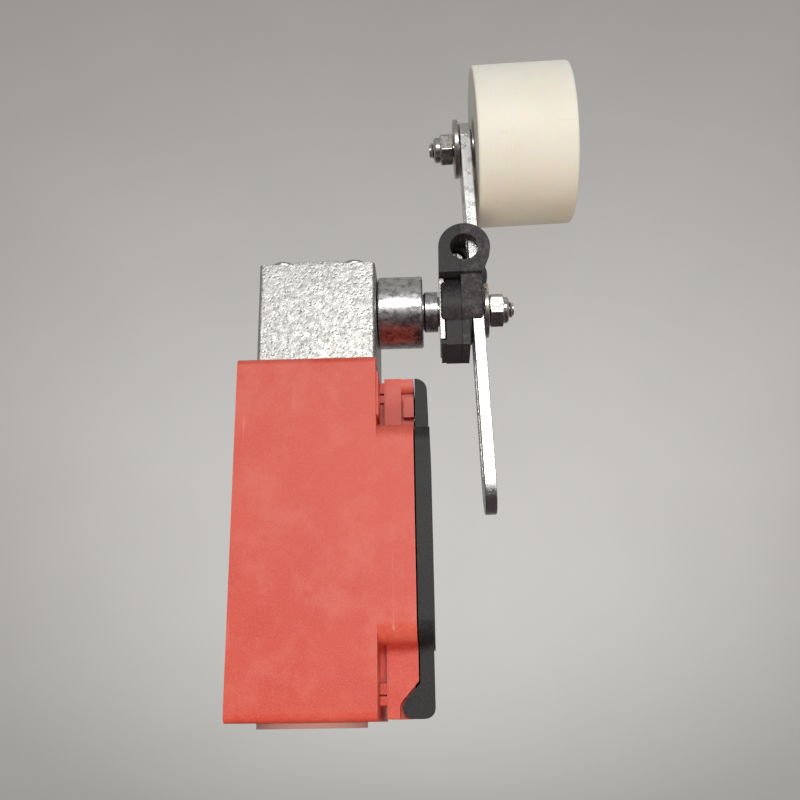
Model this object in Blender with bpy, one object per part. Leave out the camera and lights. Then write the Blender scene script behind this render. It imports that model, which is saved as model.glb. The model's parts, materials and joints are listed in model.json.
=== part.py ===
"""Roller-lever limit switch with a hinged front cover.

X points out of the front, Y across the body and Z up, in metres. The origin is the middle
of the mounting face. Sizes below are in millimetres, with heights measured from the bottom
of the body, and to_object turns them into metres from the origin.
"""

import math

import bmesh
import bpy
from mathutils import Matrix, Vector

MM = 0.001

# Housing: a box that mounts by its back, with a narrower block on its front.
BODY_WIDTH = 40.0
BODY_HEIGHT = 77.0
FACE_MIDDLE = BODY_HEIGHT / 2
BOX_FRONT = 30.65
BLOCK_FRONT = 38.7
EDGE_ROUND = 1.8
MID_ROUND = 4.0
MID_LOW, MID_HIGH = 15.3, 61.6
NARROW_HALF = 11.0
NARROW_LOW, NARROW_HIGH = 0.4, 74.3
SLIT_FRONT = 32.1
SLIT_STUBS = ((3.2, 4.9), (5.3, 7.4), (68.8, 70.5), (71.0, 73.5))
MOUNT_HALF_WIDTH = 15.0
MOUNT_LOW, MOUNT_HIGH = 8.5, 68.5
MOUNT_HOLE_R = 2.65
ENTRY_X = 15.3
ENTRY_R = 9.2
ENTRY_BOSS_R = 12.0
ENTRY_DROP = 1.2
CAVITY_BACK = 3.0
CAVITY_HALF = 7.0
CAVITY_LOW, CAVITY_HIGH = 4.0, 70.5
WIDE_HALF = 17.3
WIDE_LOW, WIDE_HIGH = 21.0, 56.0

# Front cover and its hinge, whose axis runs along Y.
HINGE_X, HINGE_Z = 37.2, 2.4
COVER_BACK, COVER_FRONT = 39.0, 42.2
LOBE_R = 1.95
LOBE_IN, LOBE_OUT = 8.8, 11.0
PIN_END = 10.0
GASKET_BACK = 38.3
COVER_SCREW_Z = 67.3

# Operating head on top, and the shaft that comes out of its front.
HEAD_BACK, HEAD_FRONT = 2.8, 30.2
HEAD_HALF = 12.6
HEAD_LOW, HEAD_HIGH = 77.3, 103.4
HEAD_X = 16.5
SCREW_PITCH_HALF = 8.5
SHAFT_Z = 95.4
BARREL_R = 8.8
BARREL_BACK, BARREL_FRONT = 30.5, 41.2
NECK_R = 4.95
NECK_FRONT = 44.9
CAM_R = 5.8

# Lever hub, its eye, and the slotted strip that it clamps.
HUB_REAR, HUB_BACK, HUB_FRONT = 45.6, 46.8, 55.7
HUB_R = 8.3
EYE_X, EYE_Z = 51.6, 108.4
EYE_R = 6.25
EYE_HALF = 9.3
EYE_HOLE_R = 3.45
LEVER_BACK, LEVER_FRONT = 53.0, 55.7
LEVER_HALF = 6.5
LEVER_LOW, LEVER_HIGH = 44.7, 147.9
LEVER_CANT = math.radians(-1.6)
SLOT_HALF = 2.3
SLOT_LOW, SLOT_HIGH = 52.0, 128.0
BOLT_R = 2.0
NUT_ACROSS_CORNERS_R = 4.4
NUT_COLLAR_R = 3.25

# Roller on the end of the lever.
ROLLER_Z = 141.4
ROLLER_R = 20.5
ROLLER_BACK, ROLLER_FRONT = 56.6, 81.0

# Switching element inside the housing.
BLOCK_BACK, BLOCK_FACE = 6.0, 26.0
BLOCK_LOW, BLOCK_HIGH = 16.0, 64.0
BLOCK_HALF = 6.6
WING_HALF = 15.5
WING_FACE = 19.0
WING_LOW, WING_HIGH = 25.0, 52.0
TERMINAL_Y = 12.0
TERMINAL_LOW, TERMINAL_HIGH = 29.7, 48.3

CLEAR = 0.3
LEVER_PIVOT = Vector(((LEVER_BACK + LEVER_FRONT) / 2, 0.0, SHAFT_Z))
ORIGIN = Vector((0.0, 0.0, FACE_MIDDLE))

MATERIALS = {
    "red_plastic": ((0.62, 0.10, 0.06, 1.0), 0.55, 0.0),
    "black_plastic": ((0.03, 0.03, 0.032, 1.0), 0.6, 0.0),
    "die_cast_zinc": ((0.55, 0.55, 0.54, 1.0), 0.45, 1.0),
    "zinc_plated_steel": ((0.68, 0.68, 0.66, 1.0), 0.3, 1.0),
    "rubber": ((0.02, 0.02, 0.02, 1.0), 0.85, 0.0),
    "brass": ((0.72, 0.52, 0.22, 1.0), 0.3, 1.0),
    "spring_steel": ((0.5, 0.5, 0.5, 1.0), 0.35, 1.0),
    "ivory_nylon": ((0.84, 0.80, 0.66, 1.0), 0.45, 0.0),
    "white_plastic": ((0.78, 0.77, 0.72, 1.0), 0.5, 0.0),
}

# The corners of each side of a box, whose corners count up through x, then y, then z.
BOX_SIDES = (
    (0, 1, 3, 2), (4, 6, 7, 5), (0, 4, 5, 1),
    (2, 3, 7, 6), (0, 2, 6, 4), (1, 5, 7, 3),
)

# Turns the axis of a shape made along +Z onto another axis. Along X, outline points are
# (y, z); along Y they are (x, z); along Z they are (x, y).
ALONG = {
    "X": Matrix(((0, 0, 1), (1, 0, 0), (0, 1, 0))),
    "Y": Matrix(((1, 0, 0), (0, 0, 1), (0, 1, 0))),
    "Z": Matrix.Identity(3),
}


def clear_scene():
    for obj in list(bpy.data.objects):
        bpy.data.objects.remove(obj, do_unlink=True)


def material(name):
    found = bpy.data.materials.get(name)
    if found:
        return found
    colour, roughness, metallic = MATERIALS[name]
    made = bpy.data.materials.new(name)
    made.use_nodes = True
    shader = made.node_tree.nodes["Principled BSDF"]
    shader.inputs["Base Color"].default_value = colour
    shader.inputs["Roughness"].default_value = roughness
    shader.inputs["Metallic"].default_value = metallic
    return made


def to_object(shape):
    """An object holding the bmesh, whose points are in millimetres, with its faces turned out."""
    bmesh.ops.recalc_face_normals(shape, faces=shape.faces)
    bmesh.ops.translate(shape, vec=-ORIGIN, verts=shape.verts)
    bmesh.ops.scale(shape, vec=Vector((MM, MM, MM)), verts=shape.verts)
    mesh = bpy.data.meshes.new("shape")
    shape.to_mesh(mesh)
    shape.free()
    obj = bpy.data.objects.new("shape", mesh)
    bpy.context.scene.collection.objects.link(obj)
    return obj


def box(x, y, z):
    """A block between the two values given for each axis."""
    shape = bmesh.new()
    corners = [shape.verts.new((a, b, c)) for a in x for b in y for c in z]
    for side in BOX_SIDES:
        shape.faces.new([corners[i] for i in side])
    return to_object(shape)


def prism(outline, axis, low, high):
    """The closed outline carried from low to high along the axis."""
    shape = bmesh.new()
    turn = ALONG[axis]
    rings = [[shape.verts.new(turn @ Vector((a, b, at))) for a, b in outline] for at in (low, high)]
    shape.faces.new(rings[0])
    shape.faces.new(rings[1])
    for i in range(len(outline)):
        j = (i + 1) % len(outline)
        shape.faces.new((rings[0][i], rings[0][j], rings[1][j], rings[1][i]))
    return to_object(shape)


def turned(profile, axis, centre, segments):
    """A profile of (radius, place along the axis) spun about the axis through centre.

    A profile that starts and ends on the axis gives a solid; a closed one off the axis,
    which names its first point once, gives a ring.
    """
    shape = bmesh.new()
    turn = ALONG[axis]
    away = Vector(centre)
    solid = profile[0][0] == 0.0 and profile[-1][0] == 0.0
    rings = []
    for radius, at in profile:
        if radius == 0.0:
            rings.append([shape.verts.new(turn @ Vector((0.0, 0.0, at)) + away)])
            continue
        circle = []
        for i in range(segments):
            angle = 2 * math.pi * i / segments
            spot = Vector((radius * math.cos(angle), radius * math.sin(angle), at))
            circle.append(shape.verts.new(turn @ spot + away))
        rings.append(circle)
    pairs = list(zip(rings, rings[1:]))
    if not solid:
        pairs.append((rings[-1], rings[0]))
    for first, second in pairs:
        for i in range(segments):
            j = (i + 1) % segments
            if len(first) == 1:
                shape.faces.new((first[0], second[j], second[i]))
            elif len(second) == 1:
                shape.faces.new((first[i], first[j], second[0]))
            else:
                shape.faces.new((first[i], first[j], second[j], second[i]))
    return to_object(shape)


def rod(radius, axis, centre, low, high, segments=20, chamfer=0.0):
    """A round bar, with its two rims chamfered where a chamfer is given."""
    profile = [(0.0, low), (radius - chamfer, low), (radius - chamfer, high), (0.0, high)]
    if chamfer:
        profile[2:2] = [(radius, low + chamfer), (radius, high - chamfer)]
    return turned(profile, axis, centre, segments)


def ring(inner, outer, axis, centre, low, high, segments=24):
    profile = [(inner, low), (outer, low), (outer, high), (inner, high)]
    return turned(profile, axis, centre, segments)


def arc(centre, radius, start, end, steps):
    """Points on a circle, from start to end in degrees."""
    points = []
    for i in range(steps + 1):
        angle = math.radians(start + (end - start) * i / steps)
        points.append((centre[0] + radius * math.cos(angle), centre[1] + radius * math.sin(angle)))
    return points


def rounded_rectangle(half, low, high, radius, steps=5):
    """A rectangle symmetrical about zero across, from low to high, with round corners."""
    points = []
    corners = ((half, low, -90), (half, high, 0), (-half, high, 90), (-half, low, 180))
    for across, up, start in corners:
        middle = (across - math.copysign(radius, across), up + (radius if up == low else -radius))
        points += arc(middle, radius, start, start + 90, steps)
    return points


def stadium(half, low, high, steps=12):
    """A strip with round ends."""
    top = arc((0.0, high - half), half, 0, 180, steps)
    bottom = arc((0.0, low + half), half, 180, 360, steps)
    return top + bottom


def combine(target, tools, operation):
    """Joins the tools to the target or cuts them from it, then removes the tools."""
    for tool in tools:
        modifier = target.modifiers.new("combine", "BOOLEAN")
        modifier.operation = operation
        modifier.object = tool
        graph = bpy.context.evaluated_depsgraph_get()
        mesh = bpy.data.meshes.new_from_object(target.evaluated_get(graph))
        target.modifiers.clear()
        target.data = mesh
        bpy.data.objects.remove(tool, do_unlink=True)
    return target


def join(target, *tools):
    return combine(target, tools, "UNION")


def cut(target, *tools):
    return combine(target, tools, "DIFFERENCE")


def finish(obj, name, material_name, origin=None, smooth=True):
    """Names the piece, gives it its material, and moves its origin to the given point."""
    obj.name = name
    obj.data.name = name
    obj.data.materials.clear()
    obj.data.materials.append(material(material_name))
    if smooth:
        obj.data.shade_smooth()
        obj.data.set_sharp_from_angle(angle=math.radians(32))
    if origin is not None:
        move = (Vector(origin) - ORIGIN) * MM
        obj.data.transform(Matrix.Translation(-move))
        obj.location = move
    return obj


def cant(obj):
    """Tips a lever piece about the clamp bolt, as the strip sits in its channel."""
    middle = Matrix.Translation((LEVER_PIVOT - ORIGIN) * MM)
    obj.data.transform(middle @ Matrix.Rotation(LEVER_CANT, 4, "Y") @ middle.inverted())
    return obj


def canted(x, z):
    """Where a point of the straight lever goes when the lever is tipped."""
    reach = Vector((x, 0.0, z)) - LEVER_PIVOT
    return Matrix.Rotation(LEVER_CANT, 3, "Y") @ reach + LEVER_PIVOT


def coil(centre, radius, wire_r, low, high, turns, steps=10, sides=5):
    """A closed-ended helical spring about +Z."""
    shape = bmesh.new()
    count = int(turns * steps)
    rings = []
    for i in range(count + 1):
        angle = 2 * math.pi * i / steps
        height = low + wire_r + (high - low - 2 * wire_r) * i / count
        outward = Vector((math.cos(angle), math.sin(angle), 0.0))
        middle = Vector(centre) + outward * radius + Vector((0.0, 0.0, height))
        loop = []
        for k in range(sides):
            around = 2 * math.pi * k / sides
            offset = outward * wire_r * math.cos(around)
            offset += Vector((0.0, 0.0, wire_r * math.sin(around)))
            loop.append(shape.verts.new(middle + offset))
        rings.append(loop)
    for first, second in zip(rings, rings[1:]):
        for k in range(sides):
            n = (k + 1) % sides
            shape.faces.new((first[k], first[n], second[n], second[k]))
    shape.faces.new(rings[0])
    shape.faces.new(rings[-1])
    return to_object(shape)


def narrow_block():
    """The upright block on the box's front, round where the cover swings under it."""
    heel = arc((BLOCK_FRONT - 1.8, NARROW_LOW + 1.8), 1.8, -90, 0, 5)
    top = [(BLOCK_FRONT, NARROW_HIGH), (SLIT_FRONT, NARROW_HIGH)]
    outline = [(SLIT_FRONT, NARROW_LOW), *heel, *top]
    return prism(outline, "Y", -NARROW_HALF, NARROW_HALF)


def lobe_recess(side):
    """Space in the narrow block's side for one hinge lobe of the cover."""
    knuckle = arc((HINGE_X, HINGE_Z), LOBE_R + 0.55, 180, 135, 3)
    back = HINGE_X - LOBE_R - 0.55
    front = COVER_BACK + 1
    outline = [(back, -1.0), *knuckle, (BLOCK_FRONT, 7.9), (front, 7.9), (front, -1.0)]
    low, high = sorted((side * (LOBE_IN - CLEAR), side * (NARROW_HALF + 0.5)))
    return prism(outline, "Y", low, high)


def gasket_outlines(grown):
    """The outer edge of the cover's gasket, upright and across, made larger by the given amount."""
    half, low, high = CAVITY_HALF + 1.3 + grown, 2.6 - grown, CAVITY_HIGH + 1.6 + grown
    upright = rounded_rectangle(half, low, high, 1.6, 3)
    half, low, high = WIDE_HALF + 1.6 + grown, WIDE_LOW - 1.6 - grown, WIDE_HIGH + 1.6 + grown
    return upright, rounded_rectangle(half, low, high, 3.2, 3)


def side_details(body, side):
    """The steps beside the cover's upper end, the stubs in the slit, and the pad above them."""
    pad = sorted((side * 11.4, side * 18.6))
    join(body, box((BOX_FRONT - 1, BOX_FRONT + 0.5), pad, (63.5, 73.5)))
    pocket = sorted((side * 9.0, side * 11.6))
    cut(body, box((35.9, BLOCK_FRONT + 1), pocket, (MID_HIGH + 0.8, NARROW_HIGH + 1)))
    step = sorted((side * 8.8, side * 10.7))
    join(body, box((36.4, BLOCK_FRONT), step, (65.2, 69.8)))
    corner = arc((9.1, 72.8), 1.6, -90, 0, 5)
    lug = [(8.8, 71.2), *corner, (10.7, NARROW_HIGH), (8.8, NARROW_HIGH)]
    join(body, prism([(side * y, z) for y, z in lug], "X", 35.4, BLOCK_FRONT))
    stub = sorted((side * 9.3, side * 10.6))
    for low, high in SLIT_STUBS:
        join(body, box((BOX_FRONT - 0.4, SLIT_FRONT + 0.4), stub, (low, high)))
    cut(body, lobe_recess(side))


def make_housing():
    body = prism(
        rounded_rectangle(BODY_WIDTH / 2, 0.0, BODY_HEIGHT, EDGE_ROUND, 4), "X", 0.0, BOX_FRONT
    )
    middle = rounded_rectangle(BODY_WIDTH / 2, MID_LOW, MID_HIGH, MID_ROUND, 8)
    join(
        body,
        prism(middle, "X", BOX_FRONT - 1.0, BLOCK_FRONT),
        box((BOX_FRONT - 1, SLIT_FRONT + 1), (-9.6, 9.6), (3.0, 73.2)),
        narrow_block(),
        rod(ENTRY_BOSS_R, "Z", (ENTRY_X, 0, 0), -ENTRY_DROP, 2.0, 40),
    )
    for side in (-1, 1):
        side_details(body, side)
    wide = rounded_rectangle(WIDE_HALF, WIDE_LOW, WIDE_HIGH, 2.0, 3)
    front = BLOCK_FRONT + 1
    cut(
        body,
        rod(4.0, "Z", (HEAD_X, 0, 0), CAVITY_HIGH - 1, BODY_HEIGHT + 1, 21),
        rod(ENTRY_R, "Z", (ENTRY_X, 0, 0), -ENTRY_DROP - 1, 12.0, 39),
        box((CAVITY_BACK, front), (-CAVITY_HALF, CAVITY_HALF), (CAVITY_LOW, CAVITY_HIGH)),
        prism(wide, "X", CAVITY_BACK, front),
        rod(1.15, "Y", (HINGE_X, 0, HINGE_Z), -12.0, -5.8, 14),
        rod(1.15, "Y", (HINGE_X, 0, HINGE_Z), 5.8, 12.0, 14),
    )
    for outline in gasket_outlines(0.2):
        cut(body, prism(outline, "X", GASKET_BACK - CLEAR, front))
    join(body, box((28.0, GASKET_BACK - 0.9), (-3.6, 3.6), (63.5, CAVITY_HIGH + 0.5)))
    cut(body, rod(2.1, "X", (0, 0, COVER_SCREW_Z), 31.0, front, 16))
    for side in (-1, 1):
        for z in (MOUNT_LOW, MOUNT_HIGH):
            place = (0, side * MOUNT_HALF_WIDTH, z)
            cut(body, rod(MOUNT_HOLE_R, "X", place, -1.0, BOX_FRONT + 2, 20))
        for x in (HEAD_X - SCREW_PITCH_HALF, HEAD_X + SCREW_PITCH_HALF):
            place = (x, side * SCREW_PITCH_HALF, 0)
            cut(body, rod(2.2, "Z", place, 66.0, BODY_HEIGHT + 1, 14))
    finish(body, "housing", "red_plastic")


def make_cover_gasket():
    """A flat ring let into the housing's rim, flush with the front."""
    inner = rounded_rectangle(CAVITY_HALF + 0.2, CAVITY_LOW - 0.2, CAVITY_HIGH + 0.3, 0.8, 2)
    wide_in = rounded_rectangle(WIDE_HALF + 0.2, WIDE_LOW - 0.2, WIDE_HIGH + 0.2, 2.2, 3)
    low, high = GASKET_BACK, BLOCK_FRONT
    seal = join(*[prism(outline, "X", low, high) for outline in gasket_outlines(0.0)])
    cut(seal, prism(inner, "X", low - 1, high + 1), prism(wide_in, "X", low - 1, high + 1))
    finish(seal, "cover_gasket", "rubber")


def make_hinge_pins():
    for side, name in ((-1, "hinge_pin_left"), (1, "hinge_pin_right")):
        low, high = sorted((side * 6.1, side * PIN_END))
        pin = rod(0.85, "Y", (HINGE_X, 0, HINGE_Z), low, high, 14, chamfer=0.15)
        finish(pin, name, "zinc_plated_steel")


def make_cover():
    middle = rounded_rectangle(19.6, MID_LOW + 0.4, MID_HIGH - 0.4, MID_ROUND, 8)
    cover = prism(middle, "X", COVER_BACK, COVER_FRONT)
    toe = arc((COVER_FRONT - 2.6, NARROW_LOW + 2.4), 2.3, -90, 0, 6)
    brow = arc((COVER_FRONT - 3.2, NARROW_HIGH - 2.8), 2.8, 0, 76, 6)
    outline = [(COVER_BACK, NARROW_LOW + 0.1), *toe, *brow, (COVER_BACK, NARROW_HIGH)]
    join(cover, prism(outline, "Y", -NARROW_HALF, NARROW_HALF))
    knuckle = arc((HINGE_X, HINGE_Z), LOBE_R, 270, 135, 8)
    inside = COVER_BACK + 0.5
    lobe = [*knuckle, (38.9, 7.35), (inside, 7.35), (inside, HINGE_Z - LOBE_R)]
    for side in (-1, 1):
        join(cover, prism(lobe, "Y", *sorted((side * LOBE_IN, side * LOBE_OUT))))
        bore = sorted((side * (LOBE_IN - 0.5), side * (PIN_END + CLEAR)))
        cut(cover, rod(1.15, "Y", (HINGE_X, 0, HINGE_Z), *bore, 14))
    dish = rounded_rectangle(16.8, WIDE_LOW + 0.4, WIDE_HIGH - 0.4, 2.0, 3)
    cut(
        cover,
        prism(dish, "X", COVER_BACK - 1, COVER_BACK + 1.6),
        rod(3.2, "X", (0, 0, COVER_SCREW_Z), 40.6, COVER_FRONT + 1, 24),
        rod(1.9, "X", (0, 0, COVER_SCREW_Z), COVER_BACK - 1, 41.0, 16),
    )
    finish(cover, "cover", "black_plastic", (HINGE_X, 0, HINGE_Z))


def make_cover_screw():
    centre = (0, 0, COVER_SCREW_Z)
    profile = [
        (0, 33.0), (1.2, 33.0), (1.45, 33.4), (1.45, 40.9),
        (2.9, 40.9), (2.9, 41.4), (2.5, 41.7), (0, 41.7),
    ]
    screw = turned(profile, "X", centre, 20)
    slot = box((41.1, 42.0), (-0.4, 0.4), (COVER_SCREW_Z - 4, COVER_SCREW_Z + 4))
    cut(screw, slot)
    finish(screw, "cover_screw", "zinc_plated_steel", (HINGE_X, 0, HINGE_Z))


def make_head():
    corner = 1.0
    outline = []
    for x, y, start in (
        (HEAD_FRONT, -HEAD_HALF, -90), (HEAD_FRONT, HEAD_HALF, 0),
        (HEAD_BACK, HEAD_HALF, 90), (HEAD_BACK, -HEAD_HALF, 180),
    ):
        middle = (x - math.copysign(corner, x - HEAD_X), y - math.copysign(corner, y))
        outline += arc(middle, corner, start, start + 90, 3)
    head = prism(outline, "Z", HEAD_LOW, HEAD_HIGH)
    join(head, box((11.5, 21.6), (-11.6, 11.6), (HEAD_HIGH - 1, HEAD_HIGH + 0.9)))
    axis = (0, 0, SHAFT_Z)
    stem = (HEAD_X, 0, 0)
    front = HEAD_FRONT + 1
    chamber = [
        (0, 5.0), (3.4, 5.0), (3.4, 10.6), (7.5, 10.6),
        (7.5, 22.4), (5.9, 22.4), (5.9, front), (0, front),
    ]
    below = HEAD_LOW - 1
    well = [(0, below), (3.3, below), (3.3, 80.0), (5.2, 80.0), (5.2, SHAFT_Z), (0, SHAFT_Z)]
    cut(
        head,
        turned(chamber, "X", axis, 32),
        turned(well, "Z", stem, 23),
        ring(6.4, 8.4, "Z", stem, below, 78.9, 28),
    )
    for side in (-1, 1):
        for x in (HEAD_X - SCREW_PITCH_HALF, HEAD_X + SCREW_PITCH_HALF):
            place = (x, side * SCREW_PITCH_HALF, 0)
            cut(head, rod(2.3, "Z", place, below, HEAD_HIGH + 1, 16))
    finish(head, "head", "die_cast_zinc")


def make_head_seal():
    section = arc((7.4, HEAD_LOW + 0.75), 0.7, 0, 300, 5)
    finish(turned(section, "Z", (HEAD_X, 0, 0), 24), "head_seal", "rubber")


def make_head_screws():
    number = 1
    for x in (HEAD_X - SCREW_PITCH_HALF, HEAD_X + SCREW_PITCH_HALF):
        for y in (-SCREW_PITCH_HALF, SCREW_PITCH_HALF):
            seat = HEAD_HIGH + CLEAR
            profile = [
                (0, 68.0), (1.5, 68.0), (1.85, 68.5), (1.85, seat), (3.25, seat),
                (3.25, seat + 0.9), (2.7, seat + 1.6), (1.6, seat + 1.9), (0, seat + 1.9),
            ]
            screw = turned(profile, "Z", (x, y, 0), 20)
            cut(screw, box((x - 4, x + 4), (y - 0.45, y + 0.45), (seat + 0.8, seat + 3)))
            finish(screw, f"head_screw_{number}", "zinc_plated_steel")
            number += 1


def make_barrel():
    bore = 4.75
    profile = [
        (bore, 22.9), (5.6, 22.9), (5.6, BARREL_BACK), (BARREL_R - 0.3, BARREL_BACK),
        (BARREL_R, BARREL_BACK + 0.3), (BARREL_R, BARREL_FRONT - 0.7),
        (BARREL_R - 0.7, BARREL_FRONT), (6.3, BARREL_FRONT), (6.3, 38.6), (bore, 38.6),
    ]
    finish(turned(profile, "X", (0, 0, SHAFT_Z), 40), "bearing_barrel", "zinc_plated_steel")
    seal = ring(4.75, 6.0, "X", (0, 0, SHAFT_Z), 38.9, 40.7, 28)
    finish(seal, "shaft_seal", "rubber")


def make_shaft():
    axis = (0, 0, SHAFT_Z)
    profile = [
        (0, 5.4), (3.1, 5.4), (3.1, 10.9), (4.0, 10.9), (4.0, 21.4), (3.4, 21.4), (3.4, 22.2),
        (4.0, 22.2), (4.0, 22.6), (4.45, 22.6), (4.45, 41.5), (NECK_R - 0.3, 41.5),
        (NECK_R, 41.8), (NECK_R, NECK_FRONT), (3.6, NECK_FRONT), (3.6, 50.2), (0, 50.2),
    ]
    finish(turned(profile, "X", axis, 28), "shaft", "zinc_plated_steel", (HEAD_X, 0, SHAFT_Z))
    flat = arc((0.0, SHAFT_Z), CAM_R, -60, 240, 20)
    cam = prism(flat, "X", 12.0, 21.0)
    cut(cam, rod(4.3, "X", axis, 11.0, 22.0, 24))
    finish(cam, "cam", "zinc_plated_steel", (HEAD_X, 0, SHAFT_Z))
    clip = ring(3.7, 5.4, "X", axis, 21.5, 22.1, 28)
    cut(clip, box((21.0, 22.6), (-1.2, 1.2), (SHAFT_Z + 1, SHAFT_Z + 8)))
    finish(clip, "retaining_ring", "spring_steel", (HEAD_X, 0, SHAFT_Z))


def lever_channel():
    high = EYE_Z + EYE_R + 4
    channel = box((LEVER_BACK - 0.25, HUB_FRONT + 5), (-6.85, 6.85), (SHAFT_Z - 16, high))
    return cant(channel)


def make_hub():
    axis = (0, 0, SHAFT_Z)
    hub = rod(HUB_R, "X", axis, HUB_REAR, HUB_FRONT, 44, chamfer=0.4)
    cut(hub, box((HUB_REAR - 1, HUB_BACK), (-6.8, 6.8), (85.4, SHAFT_Z + 9)))
    lug = [
        (EYE_X - EYE_R, 101.8), *arc((EYE_X, EYE_Z), EYE_R, 180, -25, 22), (55.7, 101.8),
    ]
    join(
        hub,
        prism(lug, "Y", -EYE_HALF, EYE_HALF),
        box((HUB_BACK, 52.4), (-6.5, 6.5), (84.2, 92.0)),
        box((HUB_REAR, HUB_BACK + 1), (-6.5, 6.5), (84.4, 85.4)),
        box((50.5, HUB_FRONT - 0.3), (-8.2, -6.0), (95.0, 102.5)),
        box((50.5, HUB_FRONT - 0.3), (6.0, 8.2), (95.0, 102.5)),
    )
    cut(
        hub,
        lever_channel(),
        rod(EYE_HOLE_R, "Y", (EYE_X, 0, EYE_Z), -EYE_HALF - 1, -2.6, 28),
        rod(EYE_HOLE_R, "Y", (EYE_X, 0, EYE_Z), 6.0, EYE_HALF + 1, 28),
        rod(2.6, "Y", (49.7, 0, EYE_Z), -3.0, 0.3, 20),
        rod(1.5, "Y", (49.7, 0, EYE_Z), 0.0, 7.0, 16),
        rod(3.95, "X", axis, HUB_BACK - 1, 53.6, 26),
    )
    finish(hub, "hub", "black_plastic", (HUB_BACK, 0, SHAFT_Z))
    plate = box((HUB_REAR - 0.35, 46.5), (-6.5, 6.5), (85.7, 101.5))
    cut(plate, rod(3.95, "X", axis, 44.0, 47.0, 28))
    finish(plate, "clamp_plate", "zinc_plated_steel", (HUB_BACK, 0, SHAFT_Z))
    profile = [
        (0, -2.3), (1.7, -2.3), (2.2, -1.8), (2.2, -0.1),
        (1.15, -0.1), (1.15, 6.4), (0, 6.4),
    ]
    screw = turned(profile, "Y", (49.7, 0, EYE_Z), 20)
    cut(screw, box((49.35, 50.05), (-3.0, -1.5), (EYE_Z - 4, EYE_Z + 4)))
    finish(screw, "hub_screw", "zinc_plated_steel", (49.7, 0, SHAFT_Z))


def locknut(across, low, high, collar_low, collar_high):
    """A hexagon nut with the round collar that holds its nylon ring."""
    corners = arc(across, NUT_ACROSS_CORNERS_R, 30, 330, 5)
    nut = prism(corners, "X", low, high)
    axis = (0, *across)
    ends = (min(low, collar_low) - 1, max(high, collar_high) + 1)
    join(nut, rod(NUT_COLLAR_R, "X", axis, collar_low, collar_high, 20, chamfer=0.4))
    cut(nut, rod(BOLT_R + CLEAR, "X", axis, *ends, 20))
    return nut


def make_lever_clamp():
    """Bolt, washer and nut that hold the strip in the hub."""
    axis = (0, 0, SHAFT_Z)
    pivot = (HUB_FRONT, 0, SHAFT_Z)
    profile = [
        (0, 50.5), (3.6, 50.5), (3.6, 52.3), (BOLT_R, 52.3),
        (BOLT_R, 63.0), (1.6, 63.4), (0, 63.4),
    ]
    finish(turned(profile, "X", axis, 24), "lever_bolt", "zinc_plated_steel", pivot)
    washer = ring(BOLT_R + CLEAR, 6.7, "X", axis, 56.1, 57.2, 32)
    finish(washer, "lever_washer", "zinc_plated_steel", pivot)
    nut = locknut((0.0, SHAFT_Z), 57.5, 60.9, 60.4, 62.2)
    finish(nut, "lever_nut", "zinc_plated_steel", pivot)


def make_lever():
    strip = prism(stadium(LEVER_HALF, LEVER_LOW, LEVER_HIGH), "X", LEVER_BACK, LEVER_FRONT)
    cut(
        strip,
        prism(stadium(SLOT_HALF, SLOT_LOW, SLOT_HIGH, 8), "X", LEVER_BACK - 1, LEVER_FRONT + 1),
        rod(BOLT_R + CLEAR, "X", (0, 0, ROLLER_Z), LEVER_BACK - 1, LEVER_FRONT + 1, 20),
    )
    finish(cant(strip), "lever_strip", "zinc_plated_steel", tuple(LEVER_PIVOT))


def make_roller():
    """Roller, and the bolt, bush, washers and nut that carry it on the strip."""
    axis = (0, 0, ROLLER_Z)
    hub = canted(ROLLER_BACK, ROLLER_Z)
    far = ROLLER_FRONT
    bolt = [
        (0, 45.1), (1.6, 45.1), (BOLT_R, 45.5), (BOLT_R, 78.6), (3.5, 78.6), (3.8, 78.9),
        (3.8, 80.3), (3.2, 80.7), (0, 80.7),
    ]
    finish(cant(turned(bolt, "X", axis, 24)), "axle_bolt", "zinc_plated_steel", hub)
    bush = ring(BOLT_R + CLEAR, 3.6, "X", axis, 57.2, 78.3, 24)
    finish(cant(bush), "axle_bush", "zinc_plated_steel", hub)
    inner = ring(BOLT_R + CLEAR, 5.0, "X", axis, 56.0, 56.9, 28)
    finish(cant(inner), "roller_washer", "zinc_plated_steel", hub)
    outer = ring(BOLT_R + CLEAR, 7.5, "X", axis, 51.5, 52.7, 36)
    finish(cant(outer), "axle_washer", "zinc_plated_steel", hub)
    nut = locknut((0.0, ROLLER_Z), 48.0, 51.2, 46.3, 48.5)
    finish(cant(nut), "axle_nut", "zinc_plated_steel", hub)
    tyre = [
        (3.9, 58.2), (7.5, 58.2), (7.5, ROLLER_BACK), (ROLLER_R - 1.0, ROLLER_BACK),
        (ROLLER_R - 0.3, ROLLER_BACK + 0.3), (ROLLER_R, ROLLER_BACK + 1.0),
        (ROLLER_R, far - 1.0), (ROLLER_R - 0.3, far - 0.3), (ROLLER_R - 1.0, far),
        (6.0, far), (6.0, 77.9), (3.9, 77.9),
    ]
    finish(cant(turned(tyre, "X", axis, 52)), "roller", "ivory_nylon", hub)


def make_pusher():
    stem = (HEAD_X, 0, 0)
    profile = [
        (0, 73.6), (2.6, 73.6), (2.9, 73.9), (2.9, 87.0),
        (4.8, 87.0), (4.8, 88.6), (4.0, 89.2), (0, 89.2),
    ]
    finish(turned(profile, "Z", stem, 24), "pusher", "white_plastic", (HEAD_X, 0, 80))
    spring = coil(stem, 3.95, 0.35, 80.3, 86.7, 4.5)
    finish(spring, "pusher_spring", "spring_steel", (HEAD_X, 0, 80.3))


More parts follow.
